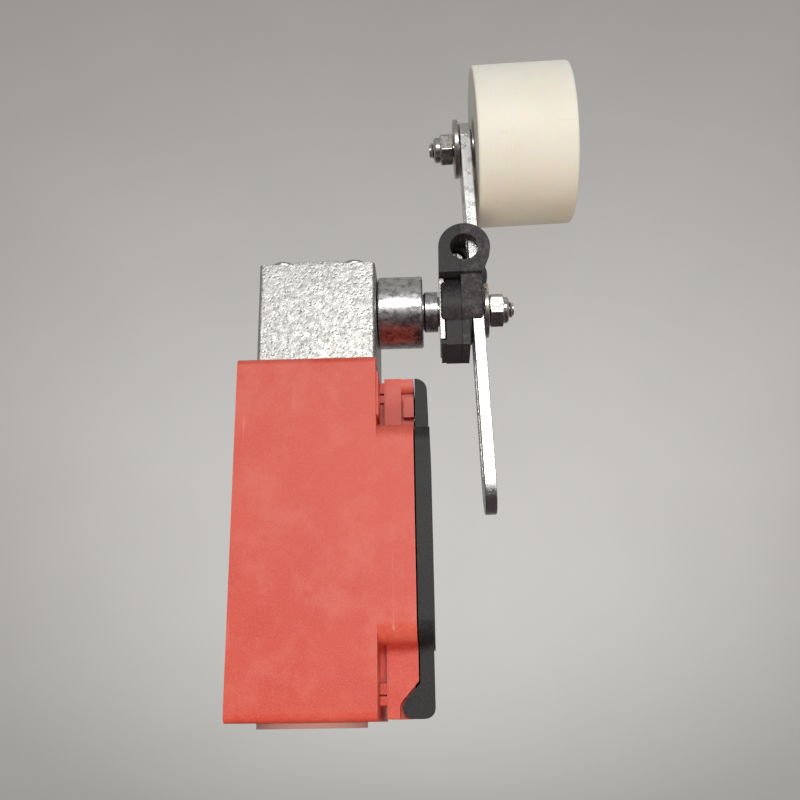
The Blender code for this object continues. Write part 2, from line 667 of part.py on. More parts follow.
def make_contact_block():
    block = box((BLOCK_BACK, BLOCK_FACE), (-BLOCK_HALF, BLOCK_HALF), (BLOCK_LOW, BLOCK_HIGH))
    join(block, box((BLOCK_BACK, WING_FACE), (-WING_HALF, WING_HALF), (WING_LOW, WING_HIGH)))
    cut(
        block,
        box((12.0, 21.0), (-4.2, 4.2), (20.0, BLOCK_HIGH + 1)),
        box((12.0, 21.0), (-13.4, 13.4), (39.8, 46.0)),
        box((12.0, 21.0), (-13.4, 13.4), (32.2, 38.6)),
    )
    for y in (-TERMINAL_Y, TERMINAL_Y):
        for z in (TERMINAL_LOW, TERMINAL_HIGH):
            cut(block, rod(1.75, "X", (0, y, z), 13.8, WING_FACE + 1, 14))
    finish(block, "contact_block", "black_plastic")


def make_terminals():
    """Four fixed contacts with their screws. At rest the upper pair is closed, the lower open."""
    upper = ((44.5, 45.3), (44.5, 51.2), TERMINAL_HIGH)
    lower = ((33.0, 33.8), (27.0, 33.8), TERMINAL_LOW)
    screw_profile = [
        (0, 14.2), (1.35, 14.2), (1.35, 20.5), (2.4, 20.5),
        (2.4, 22.0), (2.0, 22.3), (0, 22.3),
    ]
    number = 1
    for side in (-1, 1):
        finger = sorted((side * 9.0, side * 12.8))
        pad = sorted((side * 9.2, side * 14.8))
        y = side * TERMINAL_Y
        for strip, rise, z in (upper, lower):
            contact = join(box((13.5, 20.2), finger, strip), box((19.4, 20.2), pad, rise))
            cut(contact, rod(1.75, "X", (0, y, z), 18.0, 21.0, 14))
            finish(contact, f"fixed_contact_{number}", "brass")
            screw = turned(screw_profile, "X", (0, y, z), 16)
            cut(screw, box((21.5, 23.0), (y - 3, y + 3), (z - 0.35, z + 0.35)))
            finish(screw, f"terminal_screw_{number}", "zinc_plated_steel")
            number += 1


def make_contact_plunger():
    x = (14.2, 18.8)
    plunger = box(x, (-3.6, 3.6), (30.0, 60.0))
    join(plunger, rod(2.6, "Z", (HEAD_X, 0, 0), 59.0, 73.2, 20))
    cut(
        plunger,
        box((14.9, 18.1), (-5.0, 5.0), (43.0, 44.6)),
        box((14.9, 18.1), (-5.0, 5.0), (36.4, 38.0)),
    )
    finish(plunger, "contact_plunger", "white_plastic", (HEAD_X, 0, 30))
    for name, low in (("upper_bridge", 43.4), ("lower_bridge", 36.8)):
        bridge = box((15.2, 17.8), (-12.0, 12.0), (low, low + 0.7))
        finish(bridge, name, "brass", (HEAD_X, 0, low))
    spring = coil((HEAD_X, 0, 0), 2.6, 0.3, 20.3, 29.7, 5)
    finish(spring, "plunger_spring", "spring_steel", (HEAD_X, 0, 20.3))


clear_scene()
make_housing()
make_cover_gasket()
make_hinge_pins()
make_cover()
make_cover_screw()
make_head()
make_head_seal()
make_head_screws()
make_barrel()
make_shaft()
make_hub()
make_lever_clamp()
make_lever()
make_roller()
make_pusher()
make_contact_block()
make_terminals()
make_contact_plunger()
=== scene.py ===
"""Looks of the roller-lever limit switch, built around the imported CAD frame.

Every piece stands for one CAD node, in the same place and with the same outline. Shapes are
given in millimetres, with heights measured from the bottom of the body, as in the CAD source.
"""

import json
import math

import bmesh
import bpy
from mathutils import Matrix, Vector


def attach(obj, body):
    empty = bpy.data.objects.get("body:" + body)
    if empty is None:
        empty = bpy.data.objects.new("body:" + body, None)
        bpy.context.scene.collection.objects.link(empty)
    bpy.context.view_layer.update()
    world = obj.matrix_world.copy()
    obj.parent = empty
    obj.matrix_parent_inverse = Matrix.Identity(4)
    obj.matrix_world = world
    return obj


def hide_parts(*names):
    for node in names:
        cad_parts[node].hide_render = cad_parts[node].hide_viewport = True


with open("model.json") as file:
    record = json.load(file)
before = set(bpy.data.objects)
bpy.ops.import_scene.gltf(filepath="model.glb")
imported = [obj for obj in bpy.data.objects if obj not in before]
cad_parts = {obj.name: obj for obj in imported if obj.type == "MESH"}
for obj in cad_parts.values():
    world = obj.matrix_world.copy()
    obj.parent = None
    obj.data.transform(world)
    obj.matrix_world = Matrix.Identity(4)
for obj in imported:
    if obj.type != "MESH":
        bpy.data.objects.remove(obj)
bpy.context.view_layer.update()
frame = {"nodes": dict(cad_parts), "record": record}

MM = 0.001
FACE_MIDDLE = 38.5
ORIGIN = Vector((0.0, 0.0, FACE_MIDDLE))
HEAD_X = 16.5
SCREW_PITCH_HALF = 8.5
HEAD_SCREW_SEAT = 103.7
SHAFT_Z = 95.4
EYE_Z = 108.4
ROLLER_Z = 141.4
COVER_SCREW_Z = 67.3
HUB_SCREW_X = 49.7
LEVER_BACK, LEVER_FRONT = 53.0, 55.7
LEVER_HALF = 6.5
LEVER_LOW, LEVER_HIGH = 44.7, 147.9
LEVER_SLOT_HALF = 2.3
LEVER_SLOT_LOW, LEVER_SLOT_HIGH = 52.0, 128.0
LEVER_CANT = math.radians(-1.6)
LEVER_PIVOT = Vector(((LEVER_BACK + LEVER_FRONT) / 2, 0.0, SHAFT_Z))
THREAD_R = 2.0
THREAD_PITCH = 0.7
THREAD_DEPTH = 0.34
BORE_R = 2.3
NUT_FLAT, NUT_CORNER = 3.8, 4.33
NUT_COLLAR_R = 3.2
NUT_COLLAR_ROUND = 0.75
SHARP = math.radians(26)

# Places on the finished object, in metres from its origin.
HUB_SEAM_X = 0.0505
HOUSING_FOOT_Z = -0.0385
OBJECT_MIDDLE = (0.04, 0.0, 0.03)

SLOT_OF = {row["node"]: row["material_slot"] for row in frame["record"]["subparts"]}
BODY_OF = {
    node: body
    for body, nodes in frame["record"]["behaviour"]["bodies"].items()
    for node in nodes
}

# Turns a shape made along +Z onto another axis.
ALONG = {
    "X": Matrix(((0, 0, 1), (1, 0, 0), (0, 1, 0))),
    "Y": Matrix(((1, 0, 0), (0, 0, 1), (0, 1, 0))),
    "Z": Matrix.Identity(3),
}


# ---------------------------------------------------------------- shapes


def metres(shape):
    bmesh.ops.translate(shape, vec=-ORIGIN, verts=shape.verts)
    bmesh.ops.scale(shape, vec=Vector((MM, MM, MM)), verts=shape.verts)
    return shape


def cant(shape):
    """Tips a lever piece about the clamp bolt, as the strip sits in the hub."""
    turn = Matrix.Rotation(LEVER_CANT, 3, "Y")
    bmesh.ops.rotate(shape, cent=(LEVER_PIVOT - ORIGIN) * MM, matrix=turn, verts=shape.verts)
    return shape


def arc(centre, radius, start, end, steps):
    points = []
    for i in range(steps + 1):
        angle = math.radians(start + (end - start) * i / steps)
        points.append((centre[0] + radius * math.cos(angle), centre[1] + radius * math.sin(angle)))
    return points


def eased(points, radius, steps=3):
    """The open line with each inner corner rounded to about the radius."""
    made = [points[0]]
    for before, corner, after in zip(points, points[1:], points[2:]):
        corner = Vector(corner)
        back, ahead = Vector(before) - corner, Vector(after) - corner
        reach = min(radius, back.length * 0.45, ahead.length * 0.45)
        first, last = corner + back.normalized() * reach, corner + ahead.normalized() * reach
        for i in range(steps + 1):
            t = i / steps
            spot = first * (1 - t) ** 2 + corner * 2 * t * (1 - t) + last * t**2
            made.append(tuple(spot))
    made.append(points[-1])
    return made


def spun(profile, axis, centre, segments=96):
    """A profile of (radius, place along the axis) spun about the axis through centre.

    The profile is a list, or a function of the angle that gives one. One that starts and ends
    on the axis gives a solid, and any other is closed into a ring.
    """
    shape = bmesh.new()
    turn = ALONG[axis]
    away = Vector(centre)
    at_angle = profile if callable(profile) else lambda angle: profile
    first = at_angle(0.0)
    solid = first[0][0] == 0.0 and first[-1][0] == 0.0
    columns = []
    ends = []
    if solid:
        ends = [shape.verts.new(turn @ Vector((0, 0, first[k][1])) + away) for k in (0, -1)]
    for i in range(segments):
        angle = 2 * math.pi * i / segments
        points = at_angle(angle)
        if solid:
            points = points[1:-1]
        across = Vector((math.cos(angle), math.sin(angle), 0.0))
        spots = [turn @ (across * radius + Vector((0, 0, at))) + away for radius, at in points]
        columns.append([shape.verts.new(spot) for spot in spots])
    count = len(columns[0])
    for i in range(segments):
        this, other = columns[i], columns[(i + 1) % segments]
        for k in range(count - 1 if solid else count):
            n = (k + 1) % count
            shape.faces.new((this[k], other[k], other[n], this[n]))
        if solid:
            shape.faces.new((ends[0], other[0], this[0]))
            shape.faces.new((ends[1], this[-1], other[-1]))
    return metres(shape)


def prism(outline, axis, low, high):
    shape = bmesh.new()
    turn = ALONG[axis]
    rings = [[shape.verts.new(turn @ Vector((a, b, at))) for a, b in outline] for at in (low, high)]
    shape.faces.new(rings[0])
    shape.faces.new(rings[1])
    for i in range(len(outline)):
        j = (i + 1) % len(outline)
        shape.faces.new((rings[0][i], rings[0][j], rings[1][j], rings[1][i]))
    return metres(shape)


def slab(x, y, z):
    outline = [(y[0], z[0]), (y[1], z[0]), (y[1], z[1]), (y[0], z[1])]
    return prism(outline, "X", x[0], x[1])


def stadium(half, low, high, steps=32):
    top = arc((0.0, high - half), half, 0, 180, steps)
    bottom = arc((0.0, low + half), half, 180, 360, steps)
    return top + bottom


def as_object(shape, name="tool"):
    bmesh.ops.recalc_face_normals(shape, faces=shape.faces)
    mesh = bpy.data.meshes.new(name)
    shape.to_mesh(mesh)
    shape.free()
    obj = bpy.data.objects.new(name, mesh)
    bpy.context.scene.collection.objects.link(obj)
    return obj


def carved(shape, *cutters):
    """The shape with the cutters taken out of it."""
    target = as_object(shape)
    for cutter in cutters:
        tool = as_object(cutter)
        modifier = target.modifiers.new("cut", "BOOLEAN")
        modifier.operation = "DIFFERENCE"
        modifier.object = tool
        graph = bpy.context.evaluated_depsgraph_get()
        mesh = bpy.data.meshes.new_from_object(target.evaluated_get(graph))
        target.modifiers.clear()
        target.data = mesh
        bpy.data.objects.remove(tool, do_unlink=True)
    result = bmesh.new()
    result.from_mesh(target.data)
    bpy.data.objects.remove(target, do_unlink=True)
    return result


def broken_edges(shape, width, segments=2, angle=SHARP):
    """The shape with its sharp edges rounded, as moulding, casting or stamping leaves them."""
    bmesh.ops.remove_doubles(shape, verts=shape.verts, dist=2e-6)
    flat = math.radians(0.6)
    bmesh.ops.dissolve_limit(shape, angle_limit=flat, verts=shape.verts, edges=shape.edges)
    sharp = [e for e in shape.edges if e.is_manifold and e.calc_face_angle(0.0) > angle]
    bmesh.ops.bevel(
        shape, geom=sharp, offset=width * MM, segments=segments, profile=0.5,
        affect="EDGES", clamp_overlap=True,
    )
    return shape


def copied(node, width, segments=2):
    """The CAD node's shape with its edges rounded."""
    shape = bmesh.new()
    shape.from_mesh(frame["nodes"][node].data)
    return broken_edges(shape, width, segments)


def thread(low, high, radius=THREAD_R):
    """Rows of a screw thread between two places along the axis, for spun()."""
    rows = int((high - low) / THREAD_PITCH * 8)

    def profile(angle):
        points = []
        for i in range(rows + 1):
            at = low + (high - low) * i / rows
            wave = abs(((at / THREAD_PITCH - angle / (2 * math.pi)) % 1.0) * 2 - 1)
            tip = min(1.0, (at - low) / 0.5, (high - at) / 0.5)
            points.append((radius - THREAD_DEPTH * (1 - wave) - 0.4 * (1 - tip), at))
        return points

    return profile


def bolt(stages, axis, centre, thread_span, segments=48):
    """A bolt whose profile has a threaded stretch put in after the stage of that number."""
    index, low, high = thread_span
    rows = thread(low, high)

    def profile(angle):
        return [*stages[:index], *rows(angle), *stages[index:]]

    return spun(profile, axis, centre, segments)


def locknut(centre, low, high, collar):
    """A hexagon nut with chamfered corners and a round collar, from its bearing face outwards.

    low is the bearing face, high the far side of the hexagon and collar the collar's end. Where
    the nut points the other way, they fall instead of rising.
    """
    way = math.copysign(1.0, high - low)

    def profile(angle):
        off = (angle + math.pi / 6) % (math.pi / 3) - math.pi / 6
        corner = min(NUT_FLAT / math.cos(off), NUT_CORNER)
        chamfer = (corner - NUT_FLAT + 0.12) * math.tan(math.radians(30))
        points = [
            (BORE_R, low), (NUT_FLAT - 0.12, low), (corner, low + way * chamfer),
            (corner, high - way * chamfer), (NUT_FLAT - 0.12, high),
            (NUT_COLLAR_R + 0.12, high), (NUT_COLLAR_R, high + way * 0.12),
        ]
        for turn in range(0, 91, 15):
            bend = math.radians(turn)
            radius = NUT_COLLAR_R - NUT_COLLAR_ROUND * (1 - math.cos(bend))
            points.append((radius, collar - way * NUT_COLLAR_ROUND * (1 - math.sin(bend))))
        points += [(BORE_R + 0.12, collar), (BORE_R, collar - way * 0.15)]
        return points

    return spun(profile, "X", centre, 144)


def coil(centre, radius, wire_r, low, high, turns, steps=40, sides=12):
    """A helical spring about +Z at an even pitch, with the wire's ends capped."""
    shape = bmesh.new()
    count = int(turns * steps)
    rings = []
    for i in range(count + 1):
        angle = 2 * math.pi * i / steps
        height = low + wire_r + (high - low - 2 * wire_r) * i / count
        outward = Vector((math.cos(angle), math.sin(angle), 0.0))
        middle = Vector(centre) + outward * radius + Vector((0.0, 0.0, height))
        ring = []
        for k in range(sides):
            around = 2 * math.pi * k / sides
            offset = outward * wire_r * math.cos(around)
            offset += Vector((0.0, 0.0, wire_r * math.sin(around)))
            ring.append(shape.verts.new(middle + offset))
        rings.append(ring)
    for first, second in zip(rings, rings[1:]):
        for k in range(sides):
            n = (k + 1) % sides
            shape.faces.new((first[k], first[n], second[n], second[k]))
    shape.faces.new(rings[0])
    shape.faces.new(rings[-1])
    return metres(shape)


# ---------------------------------------------------------------- materials


class Look:
    """A node material under construction, in the object's own coordinates in metres."""

    def __init__(self, name, metallic=0.0, **fixed):
        self.material = bpy.data.materials.new(name)
        self.material.use_nodes = True
        self.tree = self.material.node_tree
        self.shader = self.tree.nodes["Principled BSDF"]
        self.shader.inputs["Metallic"].default_value = metallic
        for socket, value in fixed.items():
            self.shader.inputs[socket.replace("_", " ")].default_value = value
        self.place = self.tree.nodes.new("ShaderNodeTexCoord").outputs["Object"]

    def feed(self, socket, value):
        if isinstance(value, bpy.types.NodeSocket):
            self.tree.links.new(value, socket)
        elif isinstance(value, tuple) and len(value) == 3 and socket.type == "RGBA":
            socket.default_value = (*value, 1.0)
        else:
            socket.default_value = value

    def node(self, kind, feeds=(), **settings):
        made = self.tree.nodes.new("ShaderNode" + kind)
        for key, value in settings.items():
            setattr(made, key, value)
        for index, value in dict(feeds).items():
            self.feed(made.inputs[index], value)
        return made

    def spot(self, stretch=(1, 1, 1), shift=0.0):
        feeds = {"Vector": self.place, "Scale": stretch, "Location": (shift, shift, shift)}
        return self.node("Mapping", feeds).outputs[0]

    def noise(self, scale, detail=3.0, rough=0.5, stretch=(1, 1, 1), shift=0.0, warp=0.0):
        feeds = {
            "Vector": self.spot(stretch, shift), "Scale": scale, "Detail": detail,
            "Roughness": rough, "Distortion": warp,
        }
        return self.node("TexNoise", feeds).outputs[0]

    def cells(self, scale, stretch=(1, 1, 1), feature="F1"):
        feeds = {"Vector": self.spot(stretch), "Scale": scale}
        return self.node("TexVoronoi", feeds, feature=feature).outputs["Distance"]

    def span(self, value, low, high, start=0.0, end=1.0):
        """The value's range from low to high, carried onto start to end."""
        feeds = {"Value": value, "From Min": low, "From Max": high, "To Min": start, "To Max": end}
        return self.node("MapRange", feeds).outputs[0]

    def math(self, operation, first, second=0.0):
        return self.node("Math", {0: first, 1: second}, operation=operation).outputs[0]

    def mix(self, factor, first, second):
        feeds = {0: factor, 6: first, 7: second}
        return self.node("Mix", feeds, data_type="RGBA").outputs[2]

    def axis(self, index):
        return self.node("SeparateXYZ", {0: self.place}).outputs[index]

    def band(self, index, place, half, soft):
        """1 within half of that place along one axis, fading to 0 over soft."""
        away = self.math("ABSOLUTE", self.math("SUBTRACT", self.axis(index), place))
        return self.span(away, half + soft, half)

    def edges(self, radius):
        """1 along outer and inner edges, 0 on open surface."""
        bevel = self.node("Bevel", {"Radius": radius}, samples=4).outputs[0]
        normal = self.tree.nodes.new("ShaderNodeNewGeometry").outputs["Normal"]
        dot = self.node("VectorMath", {0: bevel, 1: normal}, operation="DOT_PRODUCT")
        return self.span(dot.outputs["Value"], 0.97, 0.8)

    def bump(self, height, distance, under=None):
        feeds = {"Height": height, "Distance": distance, "Strength": 1.0}
        if under is not None:
            feeds["Normal"] = under
        return self.node("Bump", feeds).outputs[0]

    def done(self, colour, roughness, normal=None):
        self.feed(self.shader.inputs["Base Color"], colour)
        self.feed(self.shader.inputs["Roughness"], roughness)
        if normal is not None:
            self.feed(self.shader.inputs["Normal"], normal)
        return self.material


def red_moulding():
    """Glass-filled red plastic: cloudy, finely speckled, with pale scuffs and fine scratches."""
    look = Look("housing_plastic", Specular_IOR_Level=0.5)
    cloud = look.span(look.noise(48, 4, 0.55, stretch=(1, 1, 0.7)), 0.42, 0.62)
    film = look.span(look.noise(105, 5, 0.7, shift=3.1), 0.46, 0.62)
    speckle = look.span(look.noise(2600, 2, 0.6), 0.5, 0.75)
    scratch = look.span(look.noise(900, 1, 0.4, stretch=(1, 1, 0.03), shift=1.7), 0.7, 0.78)
    scratch = look.math("MULTIPLY", scratch, look.span(look.noise(60, 2, shift=5.0), 0.5, 0.62))
    colour = look.mix(cloud, (0.61, 0.068, 0.040), (0.65, 0.098, 0.066))
    colour = look.mix(look.math("MULTIPLY", film, 0.28), colour, (0.72, 0.20, 0.15))
    colour = look.mix(look.math("MULTIPLY", speckle, 0.3), colour, (0.80, 0.30, 0.24))
    colour = look.mix(look.math("MULTIPLY", scratch, 0.5), colour, (0.82, 0.42, 0.36))
    wear = look.math("MULTIPLY", look.edges(0.00045), look.span(look.noise(420, 3), 0.4, 0.6))
    colour = look.mix(look.math("MULTIPLY", wear, 0.28), colour, (0.80, 0.30, 0.24))
    foot = look.span(look.axis(2), HOUSING_FOOT_Z - 0.00005, HOUSING_FOOT_Z - 0.0002)
    colour = look.mix(look.math("MULTIPLY", foot, 0.8), colour, (0.72, 0.60, 0.59))
    rough = look.math("ADD", look.span(cloud, 0, 1, 0.40, 0.50), look.span(speckle, 0, 1, 0, 0.12))
    grain = look.bump(look.noise(3200, 2, 0.6), 0.00005)
    wave = look.bump(look.noise(130, 2), 0.00012, grain)
    return look.done(colour, rough, wave)


def black_moulding(name, tone, speck, rough_low, grain, seam=None):
    """Black plastic with a spark-eroded grain, greyer along its edges.

    Where a seam is given, the mould's halves meet there along X, and the front one is scraped.
    """
    look = Look(name, Specular_IOR_Level=0.3)
    speckle = look.span(look.noise(grain, 2, 0.7), 0.5, 0.72)
    cloud = look.span(look.noise(110, 4, 0.6), 0.42, 0.66)
    colour = look.mix(cloud, tone, tuple(c * 1.6 for c in tone))
    colour = look.mix(look.math("MULTIPLY", speckle, 0.5), colour, speck)
    wear = look.math("MULTIPLY", look.edges(0.0004), look.span(look.noise(500, 3), 0.42, 0.62))
    colour = look.mix(look.math("MULTIPLY", wear, 0.3), colour, speck)
    if seam is not None:
        in_front = look.span(look.axis(0), seam, seam + 0.0002)
        patches = look.span(look.noise(700, 5, 0.75, shift=8.0), 0.5, 0.64)
        scrape = look.math("MULTIPLY", in_front, patches)
        colour = look.mix(look.math("MULTIPLY", scrape, 0.6), colour, tuple(c * 1.5 for c in speck))
        colour = look.mix(look.band(0, seam, 0.00006, 0.00008), colour, (0.004, 0.004, 0.004))
    broad = look.span(cloud, 0, 1, rough_low, rough_low + 0.1)
    rough = look.math("ADD", broad, look.span(speckle, 0, 1, 0, 0.12))
    return look.done(colour, rough, look.bump(look.noise(grain * 0.8, 3, 0.65), 0.00007))


def cast_zinc():
    """Tumbled die-cast zinc: pale, mottled and pitted, with small bright dents."""
    look = Look("die_cast_zinc", metallic=1.0)
    mottle = look.span(look.noise(1300, 5, 0.7), 0.36, 0.66)
    patch = look.span(look.noise(120, 4, 0.6, shift=2.0), 0.4, 0.62)
    dents = look.span(look.cells(1100), 0.05, 0.42)
    pits = look.span(look.noise(1700, 1, 0.4, shift=9.0), 0.73, 0.78)
    colour = look.mix(mottle, (0.36, 0.36, 0.345), (0.70, 0.70, 0.675))
    colour = look.mix(look.math("MULTIPLY", patch, 0.3), colour, (0.74, 0.71, 0.66))
    colour = look.mix(look.math("MULTIPLY", pits, 0.8), colour, (0.13, 0.12, 0.11))
    rough = look.span(look.noise(700, 3, 0.6, shift=4.0), 0.35, 0.65, 0.34, 0.56)
    rough = look.math("SUBTRACT", rough, look.math("MULTIPLY", look.edges(0.0004), 0.12))
    coarse = look.bump(look.noise(900, 5, 0.7), 0.00009)
    return look.done(colour, rough, look.bump(dents, 0.00006, coarse))


def turned_steel():
    """Plated turned bar, with fine lathe rings about X and a film of handling stains."""
    look = Look("turned_steel", metallic=1.0)
    rings = look.noise(9000, 2, 0.6, stretch=(1, 0.004, 0.004))
    stain = look.span(look.noise(620, 5, 0.75, stretch=(0.7, 1, 1)), 0.46, 0.62)
    colour = look.mix(stain, (0.80, 0.80, 0.78), (0.36, 0.33, 0.34))
    flecks = look.span(look.noise(2400, 2, 0.6), 0.6, 0.72)
    colour = look.mix(look.math("MULTIPLY", flecks, 0.5), colour, (0.92, 0.92, 0.9))
    rough = look.span(look.noise(800, 4, 0.7, shift=2.2), 0.35, 0.65, 0.2, 0.38)
    grain = look.bump(look.noise(1500, 3, 0.6), 0.00001)
    return look.done(colour, rough, look.bump(rings, 0.00001, grain))


def plated_steel():
    """Zinc-plated fasteners, faintly yellow and violet in patches and duller in others."""
    look = Look("plated_steel", metallic=1.0)
    tint = look.span(look.noise(380, 3, 0.6), 0.4, 0.6)
    colour = look.mix(tint, (0.68, 0.67, 0.60), (0.58, 0.54, 0.54))
    dull = look.span(look.noise(1500, 4, 0.7, shift=6.0), 0.5, 0.68)
    colour = look.mix(look.math("MULTIPLY", dull, 0.5), colour, (0.42, 0.38, 0.36))
    colour = look.mix(look.math("MULTIPLY", look.edges(0.0003), 0.5), colour, (0.93, 0.93, 0.9))
    rough = look.span(look.noise(1000, 3, 0.6), 0.35, 0.65, 0.2, 0.36)
    return look.done(colour, rough, look.bump(look.noise(1800, 3, 0.6), 0.000015))


def lever_steel():
    """Bright-plated strip, lightly scratched along its length, with torn specks on its edges."""
    look = Look("lever_steel", metallic=1.0)
    streak = look.noise(2600, 3, 0.6, stretch=(1, 1, 0.03))
    speck = look.span(look.noise(1900, 4, 0.75), 0.52, 0.66)
    colour = look.mix(look.span(streak, 0.35, 0.65), (0.80, 0.80, 0.78), (0.93, 0.93, 0.91))
    colour = look.mix(look.math("MULTIPLY", speck, 0.35), colour, (0.50, 0.47, 0.45))
    rough = look.span(look.noise(500, 4, 0.6), 0.35, 0.65, 0.22, 0.4)
    return look.done(colour, rough, look.bump(streak, 0.00002, look.bump(speck, 0.00002)))


def bare_metal(name, light, dark, rough_low):
    """Unplated metal, cloudy between two tones and brighter along its edges."""
    look = Look(name, metallic=1.0)
    tint = look.span(look.noise(600, 4, 0.65), 0.38, 0.64)
    colour = look.mix(tint, light, dark)
    bright = tuple(min(1, c * 1.15) for c in light)
    colour = look.mix(look.math("MULTIPLY", look.edges(0.0002), 0.4), colour, bright)
    rough = look.span(look.noise(1400, 3), 0.35, 0.65, rough_low, rough_low + 0.18)
    return look.done(colour, rough, look.bump(look.noise(2200, 3, 0.6), 0.00002))


def nylon():
    """Cast ivory nylon: milky, cloudy below the surface, with faint turning marks about X."""
    look = Look(
        "roller_nylon", Subsurface_Weight=0.35, Subsurface_Scale=0.004, Specular_IOR_Level=0.4
    )
    cloud = look.span(look.noise(70, 4, 0.55), 0.4, 0.62)
    colour = look.mix(cloud, (0.86, 0.85, 0.77), (0.84, 0.82, 0.72))
    rings = look.noise(2600, 2, 0.5, stretch=(1, 0.004, 0.004))
    colour = look.mix(look.span(rings, 0.55, 0.75, 0, 0.18), colour, (0.78, 0.73, 0.57))
    scuff = look.span(look.noise(520, 5, 0.7, stretch=(0.3, 1, 1)), 0.62, 0.74)
    colour = look.mix(look.math("MULTIPLY", scuff, 0.25), colour, (0.66, 0.60, 0.46))
    rough = look.span(look.noise(240, 4), 0.35, 0.65, 0.42, 0.56)
    grain = look.bump(look.noise(1500, 2), 0.00002)
    return look.done(colour, rough, look.bump(rings, 0.00003, grain))


def white_moulding():
    """Off-white moulded plastic, faintly cloudy."""
    look = Look("white_plastic", Subsurface_Weight=0.15, Subsurface_Scale=0.002)
    cloud = look.span(look.noise(260, 4, 0.6), 0.4, 0.62)
    colour = look.mix(cloud, (0.80, 0.79, 0.74), (0.72, 0.70, 0.64))
    rough = look.span(look.noise(800, 3), 0.35, 0.65, 0.4, 0.55)
    return look.done(colour, rough, look.bump(look.noise(2600, 2), 0.00004))


def rubber():
    """Black seal rubber, dusty in patches."""
    look = Look("seal_rubber", Specular_IOR_Level=0.35)
    dust = look.span(look.noise(900, 5, 0.7), 0.48, 0.7)
    colour = look.mix(dust, (0.012, 0.012, 0.013), (0.05, 0.048, 0.046))
    rough = look.span(dust, 0, 1, 0.6, 0.85)
    return look.done(colour, rough, look.bump(look.noise(2400, 3), 0.00006))


MATERIALS = {
    "housing_plastic": red_moulding(),
    "cover_plastic": black_moulding(
        "cover_plastic", (0.017, 0.017, 0.018), (0.065, 0.06, 0.058), 0.46, 1900
    ),
    "hub_plastic": black_moulding(
        "hub_plastic", (0.022, 0.020, 0.022), (0.09, 0.08, 0.084), 0.44, 1500, HUB_SEAM_X
    ),
    "block_plastic": black_moulding(
        "block_plastic", (0.022, 0.022, 0.025), (0.07, 0.07, 0.072), 0.38, 2200
    ),
    "die_cast_zinc": cast_zinc(),
    "turned_steel": turned_steel(),
    "plated_steel": plated_steel(),
    "lever_steel": lever_steel(),
    "spring_steel": bare_metal("spring_steel", (0.62, 0.62, 0.6), (0.42, 0.41, 0.4), 0.25),
    "contact_brass": bare_metal(
        "contact_brass", (0.78, 0.57, 0.26), (0.60, 0.40, 0.17), 0.22
    ),
    "roller_nylon": nylon(),
    "white_plastic": white_moulding(),
    "seal_rubber": rubber(),
}


# ---------------------------------------------------------------- pieces


def stand_in(node, shape):
    """Makes the shape the visible piece for that CAD node."""
    piece = as_object(shape, node + "_fine")
    piece.data.shade_smooth()
    piece.data.set_sharp_from_angle(angle=math.radians(40))
    piece.data.materials.append(MATERIALS[SLOT_OF[node]])
    weigh = piece.modifiers.new("flat_sides", "WEIGHTED_NORMAL")
    weigh.keep_sharp = True
    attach(piece, BODY_OF[node])
    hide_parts(node)
    return piece


def slotted_screw(profile, axis, centre, slot):
    shape = spun(eased(profile, 0.12), axis, centre, 64)
    return broken_edges(carved(shape, slab(*slot)), 0.06)


def make_screws():
    number = 1
    for x in (HEAD_X - SCREW_PITCH_HALF, HEAD_X + SCREW_PITCH_HALF):
        for y in (-SCREW_PITCH_HALF, SCREW_PITCH_HALF):
            seat = HEAD_SCREW_SEAT
            dome = arc((0.0, seat + 1.9 - 4.6), 4.6, 45.3, 90, 10)
            profile = [
                (0, 68.0), (1.5, 68.0), (1.85, 68.5), (1.85, seat), (3.25, seat),
                (3.25, seat + 0.5), *[(min(r, 3.25), z) for r, z in dome[:-1]], (0, seat + 1.9),
            ]
            slot = ((x - 4, x + 4), (y - 0.45, y + 0.45), (seat + 0.9, seat + 3))
            stand_in(f"head_screw_{number}", slotted_screw(profile, "Z", (x, y, 0), slot))
            number += 1
    profile = [
        (0, 33.0), (1.2, 33.0), (1.45, 33.4), (1.45, 40.9),
        (2.9, 40.9), (2.9, 41.4), (2.5, 41.7), (0, 41.7),
    ]
    slot = ((41.1, 42.0), (-0.4, 0.4), (COVER_SCREW_Z - 4, COVER_SCREW_Z + 4))
    stand_in("cover_screw", slotted_screw(profile, "X", (0, 0, COVER_SCREW_Z), slot))
    profile = [
        (0, -2.3), (1.7, -2.3), (2.2, -1.8), (2.2, -0.1), (1.15, -0.1), (1.15, 6.4), (0, 6.4),
    ]
    slot = ((HUB_SCREW_X - 0.35, HUB_SCREW_X + 0.35), (-3.0, -1.5), (EYE_Z - 4, EYE_Z + 4))
    stand_in("hub_screw", slotted_screw(profile, "Y", (HUB_SCREW_X, 0, EYE_Z), slot))


